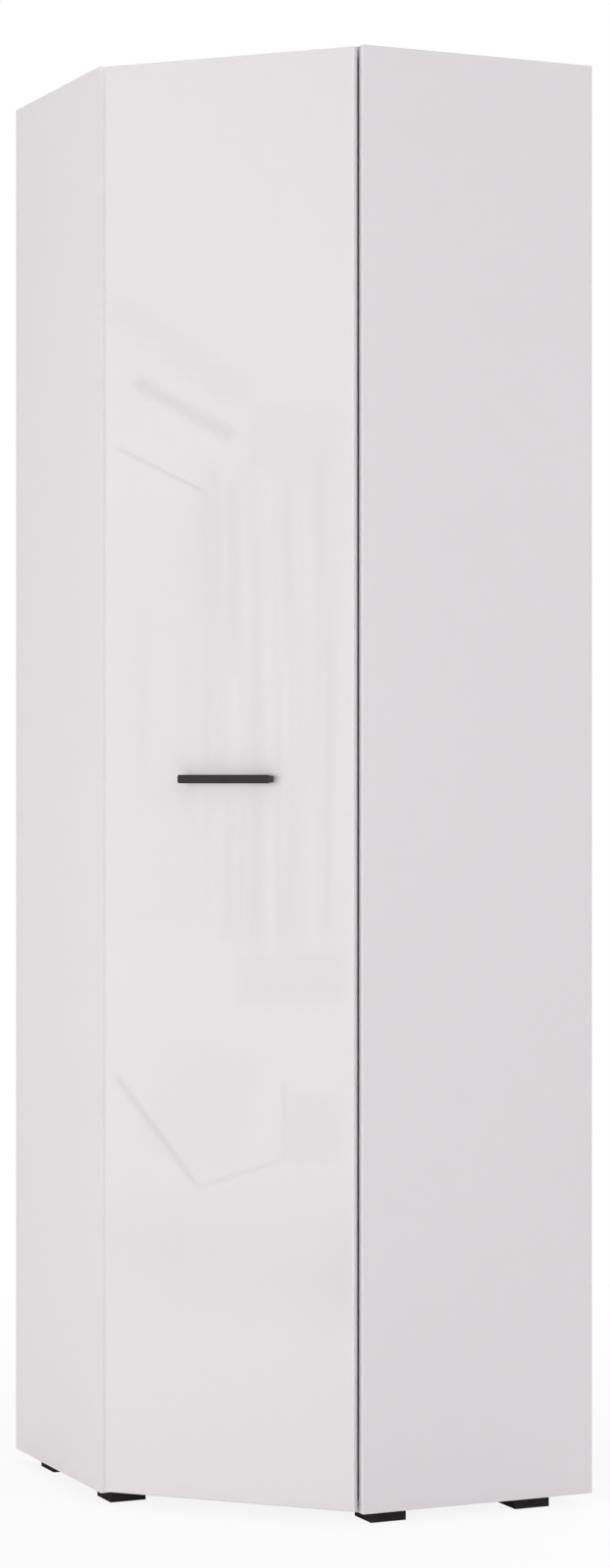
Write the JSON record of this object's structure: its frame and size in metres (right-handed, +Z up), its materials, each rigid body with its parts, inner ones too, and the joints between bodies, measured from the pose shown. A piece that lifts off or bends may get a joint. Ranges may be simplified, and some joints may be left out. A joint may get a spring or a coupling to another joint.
{
  "type": "corner wardrobe",
  "caption": "Tall white corner wardrobe with a diagonal gloss door on concealed hinges, black bracket handle, hat shelf, hanging rail and short square black feet.",
  "frame": {"origin": "on the floor, under the middle of the square footprint", "axes": "+Z up; the -X and +Y faces stand against the two walls of the room's corner, and the door faces +X -Y"},
  "size_m": [0.66, 0.66, 2.114],
  "materials": {
    "side_laminate": "white melamine-faced board, satin, with matching edge band",
    "board_laminate": "white melamine-faced board, satin",
    "door_gloss": "white high-gloss faced fibreboard",
    "hardboard": "thin hardboard, white-lacquered inside and on its edges, raw brown outside",
    "black_plastic": "black moulded plastic",
    "black_metal": "matt black powder coat",
    "rail_chrome": "bright chrome-plated steel",
    "hinge_steel": "nickel-plated stamped steel",
    "screw_steel": "zinc-plated steel",
    "cam_zinc": "die-cast zinc",
    "beech": "grooved beech dowel",
    "clear_rubber": "clear silicone"
  },
  "bodies": {
    "carcass": {"back_nails": "screw_steel", "bottom_panel": "board_laminate", "cam_bolts": "screw_steel", "cam_locks": "cam_zinc", "dowels": "beech", "foot_screws": "screw_steel", "hanging_rail": "rail_chrome", "hat_shelf": "board_laminate", "hinge_1_arm": "hinge_steel", "hinge_1_plate": "hinge_steel", "hinge_2_arm": "hinge_steel", "hinge_2_plate": "hinge_steel", "hinge_3_arm": "hinge_steel", "hinge_3_plate": "hinge_steel", "hinge_4_arm": "hinge_steel", "hinge_4_plate": "hinge_steel", "hinge_arm_pins": "hinge_steel", "hinge_arm_screws": "screw_steel", "hinge_plate_screws": "screw_steel", "left_back_board": "hardboard", "left_front_foot": "black_plastic", "left_rail_bracket": "rail_chrome", "left_rear_foot": "black_plastic", "left_side_panel": "side_laminate", "long_screws": "screw_steel", "lower_left_rear_post": "board_laminate", "lower_right_rear_post": "board_laminate", "rail_bracket_screws": "screw_steel", "rear_corner_foot": "black_plastic", "right_back_board": "hardboard", "right_front_foot": "black_plastic", "right_rail_bracket": "rail_chrome", "right_rear_foot": "black_plastic", "right_side_panel": "side_laminate", "top_panel": "board_laminate", "upper_left_rear_post": "board_laminate", "upper_right_rear_post": "board_laminate"},
    "outer_links": {"hinge_1_outer_link": "hinge_steel", "hinge_2_outer_link": "hinge_steel", "hinge_3_outer_link": "hinge_steel", "hinge_4_outer_link": "hinge_steel"},
    "inner_links": {"hinge_1_inner_link": "hinge_steel", "hinge_2_inner_link": "hinge_steel", "hinge_3_inner_link": "hinge_steel", "hinge_4_inner_link": "hinge_steel"},
    "door": {"door_bumpers": "clear_rubber", "door_handle": "black_metal", "door_panel": "door_gloss", "handle_screws": "screw_steel", "hinge_1_cup": "hinge_steel", "hinge_2_cup": "hinge_steel", "hinge_3_cup": "hinge_steel", "hinge_4_cup": "hinge_steel", "hinge_cup_pins": "hinge_steel", "hinge_cup_screws": "screw_steel"}
  },
  "joints": [
    {"name": "outer_link_swing", "type": "hinge", "parent": "carcass", "child": "outer_links", "pos_m": [0.05579, -0.28903, 1.0665], "axis": [0, 0, 1], "range_deg": [0, 34.2]},
    {"name": "door_swing", "type": "hinge", "parent": "outer_links", "child": "door", "pos_m": [0.05246, -0.31046, 1.0665], "axis": [0, 0, -1], "range_deg": [0, 129.2]},
    {"name": "inner_link_swing", "type": "hinge", "parent": "carcass", "child": "inner_links", "pos_m": [0.07107, -0.29614, 1.0665], "axis": [0, 0, 1], "range_deg": [0, 34.2]}
  ],
  "couplings": [
    {"joint": "outer_link_swing", "follows": "door_swing", "ratio": 0.26471},
    {"joint": "inner_link_swing", "follows": "door_swing", "ratio": 0.26471}
  ]
}
